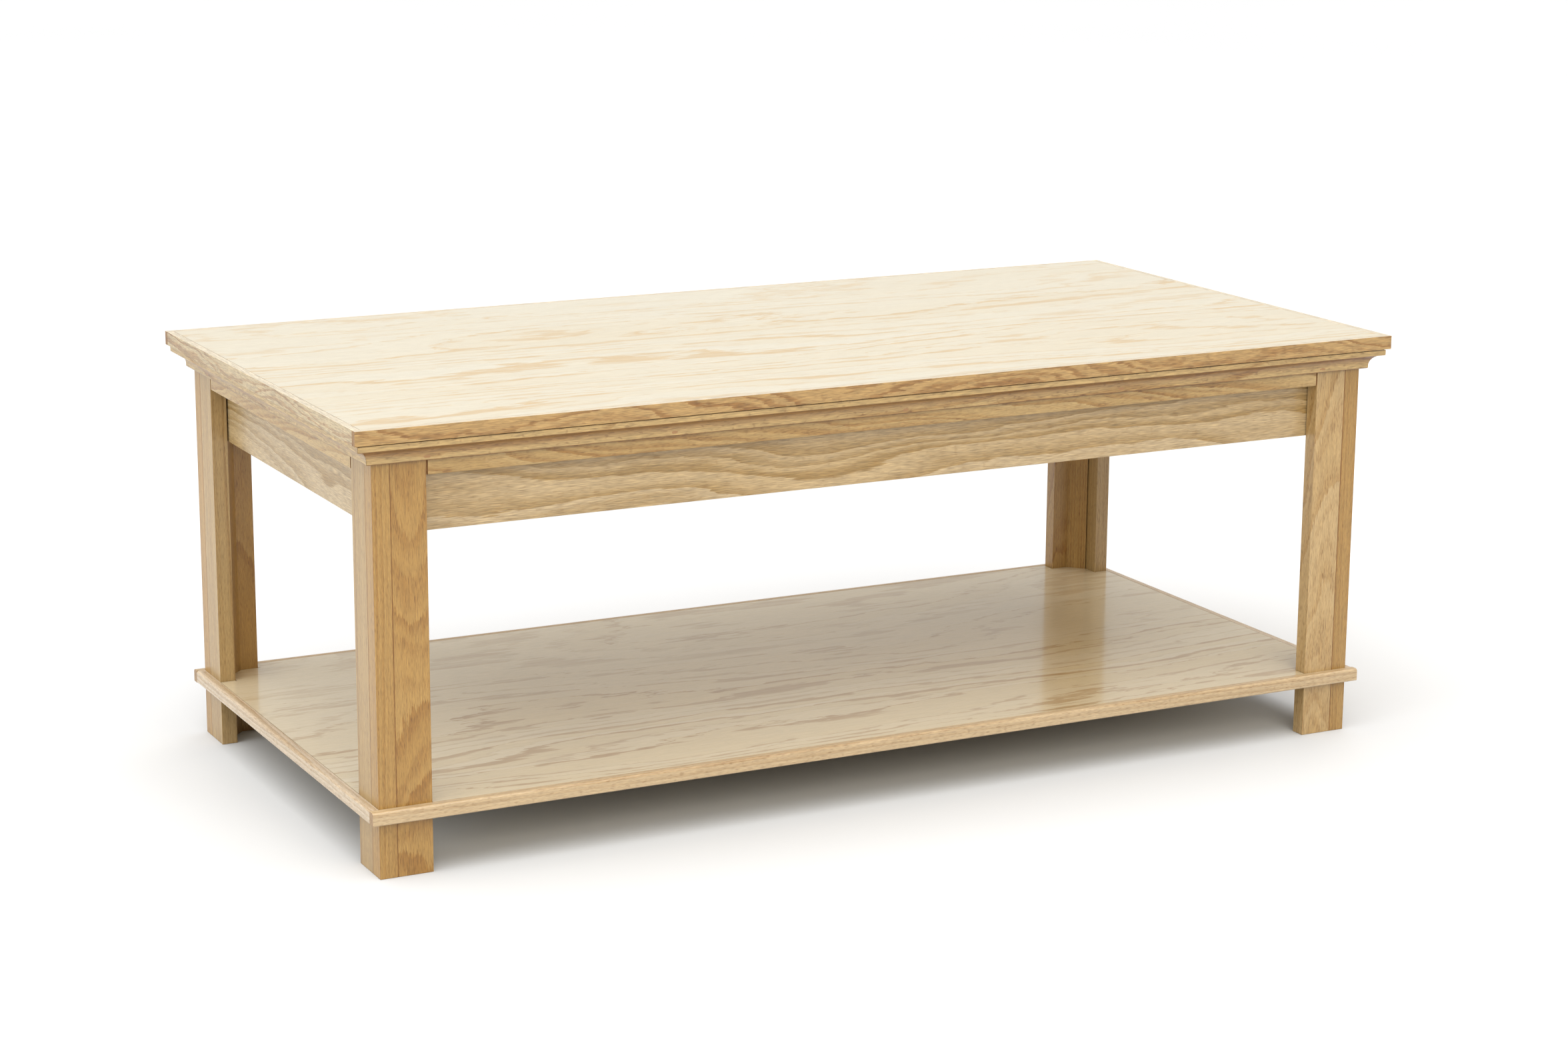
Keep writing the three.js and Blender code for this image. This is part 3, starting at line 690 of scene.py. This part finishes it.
def dress_base():
    for corner in CORNERS:
        beside_end, beside_front = post_seams(corner)
        wing_tones = SOFT_LEG_TONES if corner == "front_right" else LEG_TONES
        dress_oak(f"leg_post_{corner}", "Z", LEG_TONES, RIFT_CUT, seams=(beside_end, beside_front))
        dress_oak(f"leg_long_wing_{corner}", "Z", wing_tones, FLAT_CUT, seams=(beside_end,))
        dress_oak(f"leg_end_wing_{corner}", "Z", PALE_LEG_TONES, RIFT_CUT, seams=(beside_front,))
        dress_oak(f"leg_glue_block_{corner}", "Z", LEG_TONES, RIFT_CUT)
        for part in ("post", "long_wing", "end_wing", "glue_block"):
            ease(f"leg_{part}_{corner}", BOARD_ARRIS)
    for side in SIDES:
        grain = grain_of(side)
        dress_oak(f"apron_{side}", grain, APRON_TONES, APRON_CUT)
        dress_oak(f"filler_rail_{side}", grain, EDGE_TONES, FLAT_CUT)
        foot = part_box(f"cove_moulding_{side}")[0].z
        nails = ("XY".index(grain), foot + NAIL_HEIGHT, NAIL_ROWS[grain], PUTTY_TONE)
        # The moulding's faces that look down get painted shade.
        moulding_tones = dict(EDGE_TONES, hollow=PAINTED_DOWN_SHADE_TONE, nails=nails)
        # The seam at the moulding's foot is a painted shadow line in the crease above the rail.
        dress_oak(f"cove_moulding_{side}", grain, moulding_tones, MOULDING_CUT, seams=((2, foot),))
        ease(f"apron_{side}", APRON_ARRIS)
        smooth(f"filler_rail_{side}")
        smooth(f"cove_moulding_{side}")
    wear("compartment_floor", plywood())


def dress_shelf():
    dress_oak("shelf_panel", "X", SHELF_TONES, SHEET_CUT, POLISHED)
    # Painted light: the end edgings get a paler colour that stands in for the bright cool light on the
    # table's end.
    painted_light_end_tones = dict(PALE_EDGE_TONES, late=(0.50, 0.40, 0.285))
    for side in SIDES:
        grain = grain_of(side)
        tones = PALE_EDGE_TONES if grain == "X" else painted_light_end_tones
        dress_oak(f"shelf_edging_{side}", grain, tones, RIFT_CUT)
        smooth(f"shelf_edging_{side}")


def dress_linkage():
    coat = black_powder_coat()
    zinc = steel("bright_zinc", (0.62, 0.63, 0.65), (0.45, 0.46, 0.47), 0.3, (40.0, 900.0, 900.0))
    for end in ENDS:
        for part in ("base_plate", "front_arm", "rear_arm", "top_plate"):
            wear(f"lift_{part}_{end}", coat)
            smooth(f"lift_{part}_{end}")
        for pin in ("front_lower", "rear_lower", "front_upper", "rear_upper"):
            wear(f"pin_{pin}_{end}", zinc)
            smooth(f"pin_{pin}_{end}")
        wear(f"lift_spring_{end}", zinc)
    wear("lift_cross_bar", coat)
    smooth("lift_cross_bar")


# ------------------------------------------------------------------ added pieces

SHEET = 3.0 * MM
SCREW = {"head": 4.2 * MM, "dome": 2.0 * MM, "shank": 2.2 * MM, "arm": 0.62 * MM, "sides": 48}
SPRING = {
    "coil": 5.5 * MM,
    "wire": 0.9 * MM,
    "eye": 4.4 * MM,
    "eye_length": 5.4 * MM,
    "open": 0.5,
    "turns": 44,
    "steps": 14,
    "keep": 0.694,
}
BUMPER = {"radius": 6.5 * MM, "height": 1.4 * MM, "sides": 40}
STRIP = {"depth": 6 * MM, "end_gap": 0.5 * MM, "rows": 24}
RAIL_SINK = 0.8 * MM  # how far the filler lies below the faces
LEG_SINK = 0.08 * MM


def add_piece(name, mesh, material, body):
    mesh.materials.clear()
    mesh.materials.append(material)
    piece = bpy.data.objects.new(name, mesh)
    bpy.context.scene.collection.objects.link(piece)
    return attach(piece, body)


def ring_mesh(name, rings, sides, lift=None):
    """Closed round form along Z from (radius, height) rings; `lift` adds height at a place."""
    form = bmesh.new()
    loops = []
    for radius, height in rings:
        turns = [2 * math.pi * turn / sides for turn in range(sides)]
        spots = [(radius * math.cos(turn), radius * math.sin(turn)) for turn in turns]
        loops.append([
            form.verts.new((x, y, height + (lift(x, y, height) if lift else 0.0)))
            for x, y in spots])
    for upper, lower in zip(loops, loops[1:]):
        for turn in range(sides):
            after = (turn + 1) % sides
            form.faces.new((upper[turn], lower[turn], lower[after], upper[after]))
    form.faces.new(loops[0])
    form.faces.new(list(reversed(loops[-1])))
    for face in form.faces:
        face.smooth = True
    mesh = bpy.data.meshes.new(name)
    form.to_mesh(mesh)
    form.free()
    return mesh


def cross_recess(x, y, height):
    """Depth of the cross slot in a screw head at one place."""
    if height <= 0:
        return 0.0
    narrow, long = sorted((abs(x), abs(y)))
    beside = min(max((SCREW["arm"] + 0.15 * MM - narrow) / (0.3 * MM), 0.0), 1.0)
    beyond = min(max((2.5 * MM - long) / (0.8 * MM), 0.0), 1.0)
    return -1.3 * MM * beside * beyond


def screw_mesh(name, length):
    """Pan head above its bearing face at the origin, a thread below it."""
    head = SCREW["head"]
    top = [(head * step / 16, SCREW["dome"] * (1 - (step / 16) ** 4 * 0.55)) for step in range(1, 17)]
    rim = [(head * 1.0, 0.3 * MM), (head * 0.96, 0.0), (SCREW["shank"], 0.0)]
    threads = int(length / (0.9 * MM))
    shank = []
    for turn in range(threads):
        depth = -0.9 * MM * turn
        shank += [(SCREW["shank"] * 0.72, depth - 0.2 * MM), (SCREW["shank"], depth - 0.6 * MM)]
    return ring_mesh(name, top + rim + shank, SCREW["sides"], cross_recess)


def place_screw(name, spot, outward, body, zinc, chance, length):
    """A screw whose head bears on `spot` and faces outward, its cross turned at random."""
    piece_mesh = screw_mesh(name, length)
    turn = Quaternion((0, 0, 1), chance.uniform(0, math.pi))
    aim = Vector(outward).to_track_quat("Z", "Y") @ turn
    piece_mesh.transform(Matrix.Translation(Vector(spot)) @ aim.to_matrix().to_4x4())
    add_piece(name, piece_mesh, zinc, body)


def add_screws(end, sign, zinc):
    """Two screws through each base plate into the apron, three through each top plate."""
    chance = random.Random("screws " + end)
    low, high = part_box(f"lift_base_plate_{end}")
    inner_face = sign * (max(abs(low.x), abs(high.x)) - SHEET)
    for name, y in (("front", low.y + 16 * MM), ("rear", high.y - 16 * MM)):
        spot = (inner_face, y, low.z + 16 * MM)
        place_screw(f"base_plate_screw_{name}_{end}", spot, (-sign, 0, 0), "base", zinc, chance, SHEET)
    low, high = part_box(f"lift_top_plate_{end}")
    under = high.z - SHEET
    x = sign * (min(abs(low.x), abs(high.x)) + 15 * MM)
    rows = {"front": low.y + 14 * MM, "middle": (low.y + high.y) / 2, "rear": high.y - 14 * MM}
    for name, y in rows.items():
        spot = (x, y, under)
        place_screw(f"top_plate_screw_{name}_{end}", spot, (0, 0, -1), "top", zinc, chance, SHEET)


def spring_path(centre_x, front, rear, z):
    """Points along the wire: an eye round the post, the coil, and an eye round the arm's stud."""
    reach = SPRING["eye"] + SPRING["wire"]
    anchor = front + reach
    lug = rear - reach
    lead = 2 * SPRING["eye"]
    start = anchor + lead
    length = lug - lead - start
    first = [anchor, -SPRING["open"], SPRING["open"] - 2 * math.pi]
    last = [lug, math.pi - SPRING["open"], SPRING["open"] - math.pi]
    path = eye_points(centre_x, z, *first)
    count = SPRING["turns"] * SPRING["steps"]
    for step in range(count + 1):
        angle = 2 * math.pi * step / SPRING["steps"]
        path.append((centre_x + SPRING["coil"] * math.sin(angle),
                     start + length * step / count,
                     z + SPRING["coil"] * math.cos(angle)))
    return path + eye_points(centre_x, z, *last)


def eye_points(x, z, y, start, stop):
    """An eye a little long, so that it still clears its stud when the spring is short."""
    angles = [start + (stop - start) * step / 17 for step in range(18)]
    return [(x, y + SPRING["eye_length"] * math.cos(angle), z + SPRING["eye"] * math.sin(angle))
            for angle in angles]


def wire_mesh(name, path, radius):
    """A round wire of one smooth curve through the points, as a mesh."""
    curve = bpy.data.curves.new(name, "CURVE")
    curve.dimensions = "3D"
    curve.bevel_depth = radius
    curve.bevel_resolution = 3
    curve.use_fill_caps = True
    curve.resolution_u = 2
    line = curve.splines.new("NURBS")
    line.order_u = 3
    line.use_endpoint_u = True
    line.points.add(len(path) - 1)
    for knot, place in zip(line.points, path):
        knot.co = (*place, 1.0)
    holder = bpy.data.objects.new(name + "_path", curve)
    mesh = bpy.data.meshes.new_from_object(holder)
    bpy.data.objects.remove(holder)
    for face in mesh.polygons:
        face.use_smooth = True
    return mesh


def add_spring(end, wire):
    """A wound coil in place of the plain CAD spring; the real spring shortens as the table opens, this
    coil keeps one length.
    """
    node = f"lift_spring_{end}"
    low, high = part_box(node)
    middle = (low + high) / 2
    path = spring_path(middle.x, low.y, high.y, middle.z)
    mesh = wire_mesh(f"coil_spring_{end}", path, SPRING["wire"])
    piece = add_piece(f"coil_spring_{end}", mesh, wire, "base")
    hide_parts(node)
    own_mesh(piece)


def add_bumpers(material):
    """A thin felt pad on each corner post, where the closed top rests."""
    radius, height = BUMPER["radius"], BUMPER["height"]
    chance = random.Random("bumpers")
    for corner in CORNERS:
        low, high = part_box(f"leg_post_{corner}")
        rings = [(radius * step / 6, height) for step in range(1, 6)]
        rings += [(radius * 0.93, height * 0.96), (radius, height * 0.7), (radius * 0.99, 0.0)]
        mesh = ring_mesh(f"felt_bumper_{corner}", rings, BUMPER["sides"])
        for point in mesh.vertices:
            fuzz = chance.uniform(0.97, 1.0)
            point.co.x *= fuzz
            point.co.y *= fuzz
        spot = ((low.x + high.x) / 2, (low.y + high.y) / 2, high.z)
        mesh.transform(Matrix.Translation(spot))
        add_piece(f"felt_bumper_{corner}", mesh, material, "base")


def add_rail_joints(material):
    """Dark glue and filler squeezed into the joint at each end of a rail, a little below the face."""
    for side in SIDES:
        along, across = (0, 1) if side in ("front", "back") else (1, 0)
        low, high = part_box(f"filler_rail_{side}")
        for end, sign in (("a", -1.0), ("b", 1.0)):
            gap = gap_beside(side, along, sign)
            name = f"rail_joint_{side}_{end}"
            mesh = strip_mesh(name, (along, across), gap, (low, high), RAIL_SINK)
            add_piece(name, mesh, material, "base")


def add_leg_joints(material):
    """The glue lines of the legs, flush to a hair below the faces."""
    for corner in CORNERS:
        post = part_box(f"leg_post_{corner}")
        for wing, along, across in (("long", 0, 1), ("end", 1, 0)):
            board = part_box(f"leg_{wing}_wing_{corner}")
            gap = gap_between(post, board, along)
            name = f"leg_joint_{wing}_{corner}"
            mesh = strip_mesh(name, (along, across), gap, board, LEG_SINK)
            add_piece(name, mesh, material, "base")


def gap_between(first, second, axis):
    """The two edges of the gap between two boxes along one axis."""
    ahead = first if first[0][axis] < second[0][axis] else second
    behind = second if ahead is first else first
    return tuple(sorted((ahead[1][axis], behind[0][axis])))


def gap_beside(side, along, sign):
    """From the end of a rail to the wing board of the leg next to it, along the rail."""
    if along == 0:
        wing = f"leg_long_wing_{side}_{'left' if sign < 0 else 'right'}"
    else:
        wing = f"leg_end_wing_{'front' if sign < 0 else 'back'}_{side}"
    return gap_between(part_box(f"filler_rail_{side}"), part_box(wing), along)


def strip_mesh(name, axes, gap, board, depth):
    """A strip of glue that fills a gap, with an uneven skin a little below the faces of the boards."""
    chance = random.Random(name)
    across = axes[1]
    low, high = board
    outer = high[across] if high[across] + low[across] > 0 else low[across]
    inward = -math.copysign(1.0, outer)
    inner = outer + inward * STRIP["depth"]
    rows = STRIP["rows"]
    form = bmesh.new()
    loops = []
    for row in range(rows + 1):
        z = low.z + STRIP["end_gap"] + (high.z - low.z - 2 * STRIP["end_gap"]) * row / rows
        skin = [outer + inward * depth * chance.uniform(0.6, 1.4) for _ in range(4)]
        shares = (0.0, 0.3, 0.7, 1.0)
        loop = [strip_corner(form, axes, gap, share, deep, z) for share, deep in zip(shares, skin)]
        loop += [strip_corner(form, axes, gap, share, inner, z) for share in (1.0, 0.0)]
        loops.append(loop)
    for lower, upper in zip(loops, loops[1:]):
        for step in range(6):
            after = (step + 1) % 6
            form.faces.new((lower[step], lower[after], upper[after], upper[step]))
    form.faces.new(loops[0])
    form.faces.new(loops[-1])
    bmesh.ops.recalc_face_normals(form, faces=form.faces)
    mesh = bpy.data.meshes.new(name)
    form.to_mesh(mesh)
    form.free()
    return mesh


def strip_corner(form, axes, gap, share, deep, z):
    """One corner of a strip, at a share of the way across the gap."""
    along, across = axes
    place = [0.0, 0.0, z]
    place[along] = gap[0] + (gap[1] - gap[0]) * share
    place[across] = deep
    return form.verts.new(place)


def add_small_pieces():
    """What is too small for CAD: screws, springs, bumpers and the glue of the joints."""
    zinc = steel("screw_zinc", (0.66, 0.66, 0.68), (0.48, 0.49, 0.51), 0.28, (600.0, 600.0, 600.0))
    wire = steel("spring_wire", (0.45, 0.46, 0.48), (0.28, 0.28, 0.30), 0.32, (900.0, 60.0, 900.0))
    for end, sign in (("right", 1.0), ("left", -1.0)):
        add_screws(end, sign, zinc)
        add_spring(end, wire)
    add_bumpers(felt())
    glue = filler()
    add_rail_joints(glue)
    add_leg_joints(glue)


# ------------------------------------------------------------------ studio

CAMERA = {
    "place": (-1.65061662, -3.21366784, 1.10020714),
    "target": (0.08306588, 0.14806036, 0.20368688),
    "lens": 75.694,
    "roll": 0.3536,
}
FLOOR = {"half": 60.0, "top": -0.2 * MM}  # a hair below the feet
ROOM_STRENGTH = 0.5
SUN = {"strength": 4.3, "spread": 80, "tilt": (8, -8, 0)}
AIM = (0, 0, 0.3)


def add_camera():
    """The camera that was fitted to the photo."""
    data = bpy.data.cameras.new("camera")
    data.sensor_width = 36.0
    data.lens = CAMERA["lens"]
    camera = bpy.data.objects.new("camera", data)
    bpy.context.scene.collection.objects.link(camera)
    place = Vector(CAMERA["place"])
    aim = (Vector(CAMERA["target"]) - place).to_track_quat("-Z", "Y")
    roll = Quaternion((0, 0, 1), math.radians(CAMERA["roll"]))
    camera.rotation_mode = "QUATERNION"
    camera.rotation_quaternion = aim @ roll
    camera.location = place
    bpy.context.scene.camera = camera


def add_floor():
    graph = Graph("studio_floor")
    place = graph.node("TexCoord").outputs["Object"]
    mottle = graph.noise(place, (0.6, 0.6, 0.6), 2.0)
    colour = graph.blend(
        graph.math("ADD", mottle, 0.5), (0.555, 0.555, 0.555), (0.54, 0.54, 0.54))
    material = graph.finish({"Base Color": colour, "Roughness": 0.9, "Specular IOR Level": 0.1})
    mesh = bpy.data.meshes.new("floor")
    half = FLOOR["half"]
    low = FLOOR["top"]
    mesh.from_pydata(
        [(-half, -half, low), (half, -half, low), (half, half, low), (-half, half, low)],
        [], [(0, 1, 2, 3)])
    mesh.materials.append(material)
    floor = bpy.data.objects.new("floor", mesh)
    bpy.context.scene.collection.objects.link(floor)


def add_softbox(name, place, size, power, colour):
    """A rectangular lamp aimed at the table, left out of reflections."""
    data = bpy.data.lights.new(name, "AREA")
    data.shape = "RECTANGLE"
    data.size, data.size_y = size
    data.energy = power
    data.color = colour
    light = bpy.data.objects.new(name, data)
    light.location = place
    light.rotation_mode = "QUATERNION"
    light.rotation_quaternion = (Vector(AIM) - Vector(place)).to_track_quat("-Z", "Y")
    light.visible_glossy = False
    bpy.context.scene.collection.objects.link(light)


def add_light():
    """A white room, a wide overhead light and three large softboxes: front, left and behind."""
    world = bpy.data.worlds.new("studio")
    world.use_nodes = True
    backdrop = world.node_tree.nodes["Background"]
    backdrop.inputs["Color"].default_value = (1.0, 1.0, 1.0, 1.0)
    backdrop.inputs["Strength"].default_value = ROOM_STRENGTH
    bpy.context.scene.world = world
    sun = bpy.data.lights.new("overhead", "SUN")
    sun.energy = SUN["strength"]
    sun.angle = math.radians(SUN["spread"])
    overhead = bpy.data.objects.new("overhead", sun)
    overhead.rotation_euler = [math.radians(angle) for angle in SUN["tilt"]]
    bpy.context.scene.collection.objects.link(overhead)
    add_softbox("front_softbox", (-0.8, -4.2, 2.3), (3.6, 1.6), 106.0, (1.0, 0.955, 0.85))
    add_softbox("left_softbox", (-4.6, -0.6, 1.2), (3.0, 1.8), 100.0, (0.88, 0.95, 1.0))
    add_softbox("back_softbox", (3.4, 3.2, 0.9), (3.0, 1.5), 66.0, (1.0, 0.94, 0.84))
    bpy.context.scene.view_settings.view_transform = "Standard"


add_camera()
dress_top()
dress_base()
dress_shelf()
dress_linkage()
add_small_pieces()
add_floor()
add_light()
